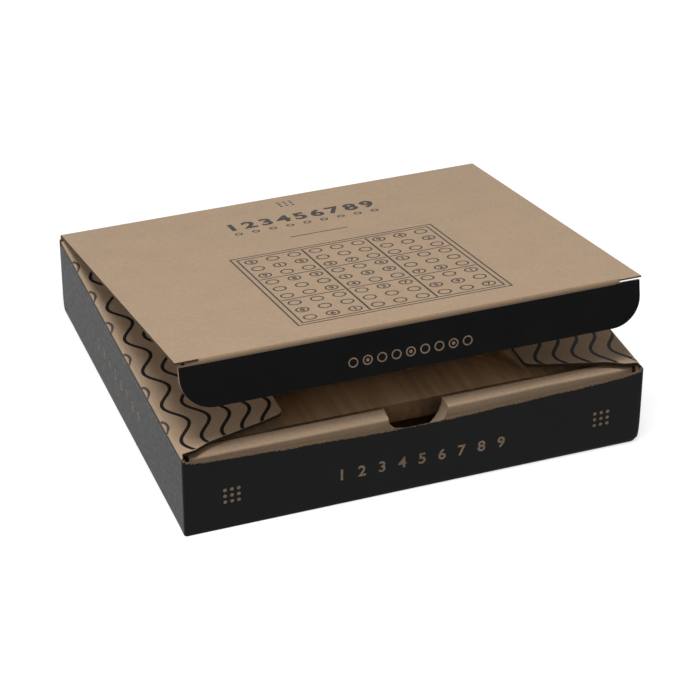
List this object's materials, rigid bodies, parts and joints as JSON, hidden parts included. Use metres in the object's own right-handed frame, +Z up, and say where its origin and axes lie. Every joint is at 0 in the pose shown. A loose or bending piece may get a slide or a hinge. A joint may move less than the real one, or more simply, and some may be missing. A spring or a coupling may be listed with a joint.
{
  "type": "sudoku board in a gift carton",
  "caption": "Wooden sudoku board with recessed grid and loose number discs, in a kraft and black tuck-top gift carton with hinged lid, tuck flap and dust flaps.",
  "frame": {"origin": "centre of the carton's underside", "axes": "+Z up, +X to the right seen from the front, the front wall towards -Y"},
  "size_m": [0.216, 0.202, 0.0836],
  "materials": {
    "kraft_card": "unbleached kraft micro-flute, matt",
    "black_card": "kraft micro-flute printed black, matt",
    "plate_wood": "edge-glued pale wood, sanded, grain front to back",
    "base_wood": "sanded wood, bare",
    "disc_wood": "turned pale wood with a burnt number"
  },
  "bodies": {
    "carton": {"base_panel": "kraft_card", "corner_tabs": "kraft_card", "front_insert": "kraft_card", "front_wall": "black_card", "back_wall": "black_card", "left_wall": "black_card", "right_wall": "black_card", "grid_plate": "plate_wood", "left_trough_frame": "plate_wood", "right_trough_frame": "plate_wood", "rail_dowels": "plate_wood", "tray_panel": "base_wood", "base_front_rail": "base_wood", "base_back_rail": "base_wood", "base_left_rail": "base_wood", "base_right_rail": "base_wood", "centre_bearer": "base_wood", "base_bottom": "base_wood"},
    "lid": {"lid_panel": "kraft_card"},
    "tuck": {"tuck_flap": "black_card"},
    "left_flap": {"left_dust_flap": "kraft_card"},
    "right_flap": {"right_dust_flap": "kraft_card"},
    "discs_1": {"number_discs_1": "disc_wood"},
    "discs_2": {"number_discs_2": "disc_wood"},
    "discs_3": {"number_discs_3": "disc_wood"},
    "discs_4": {"number_discs_4": "disc_wood"},
    "discs_5": {"number_discs_5": "disc_wood"},
    "discs_6": {"number_discs_6": "disc_wood"},
    "discs_7": {"number_discs_7": "disc_wood"},
    "discs_8": {"number_discs_8": "disc_wood"},
    "discs_9": {"number_discs_9": "disc_wood"}
  },
  "joints": [
    {"name": "lid_hinge", "type": "hinge", "parent": "carton", "child": "lid", "pos_m": [0, 0.101, 0.04], "axis": [-1, 0, 0], "range_deg": [-12.2, 167.8]},
    {"name": "tuck_fold", "type": "hinge", "parent": "lid", "child": "tuck", "pos_m": [0, -0.09338, 0.08356], "axis": [-1, 0, 0], "range_deg": [0, 91.5]},
    {"name": "left_flap_fold", "type": "hinge", "parent": "carton", "child": "left_flap", "pos_m": [-0.108, 0, 0.04], "axis": [0, -1, 0], "range_deg": [-5.59, 75.61]},
    {"name": "right_flap_fold", "type": "hinge", "parent": "carton", "child": "right_flap", "pos_m": [0.108, 0, 0.04], "axis": [0, 1, 0], "range_deg": [-5.59, 75.61]},
    {"name": "disc_lift_1", "type": "slide", "parent": "carton", "child": "discs_1", "axis": [0, 0, 1], "range_m": [0, 0.0046]},
    {"name": "disc_lift_2", "type": "slide", "parent": "carton", "child": "discs_2", "axis": [0, 0, 1], "range_m": [0, 0.0046]},
    {"name": "disc_lift_3", "type": "slide", "parent": "carton", "child": "discs_3", "axis": [0, 0, 1], "range_m": [0, 0.0046]},
    {"name": "disc_lift_4", "type": "slide", "parent": "carton", "child": "discs_4", "axis": [0, 0, 1], "range_m": [0, 0.0046]},
    {"name": "disc_lift_5", "type": "slide", "parent": "carton", "child": "discs_5", "axis": [0, 0, 1], "range_m": [0, 0.0046]},
    {"name": "disc_lift_6", "type": "slide", "parent": "carton", "child": "discs_6", "axis": [0, 0, 1], "range_m": [0, 0.0046]},
    {"name": "disc_lift_7", "type": "slide", "parent": "carton", "child": "discs_7", "axis": [0, 0, 1], "range_m": [0, 0.0046]},
    {"name": "disc_lift_8", "type": "slide", "parent": "carton", "child": "discs_8", "axis": [0, 0, 1], "range_m": [0, 0.0046]},
    {"name": "disc_lift_9", "type": "slide", "parent": "carton", "child": "discs_9", "axis": [0, 0, 1], "range_m": [0, 0.0046]}
  ],
  "couplings": [
    {"joint": "left_flap_fold", "follows": "lid_hinge", "ratio": 0.45},
    {"joint": "right_flap_fold", "follows": "lid_hinge", "ratio": 0.45}
  ]
}
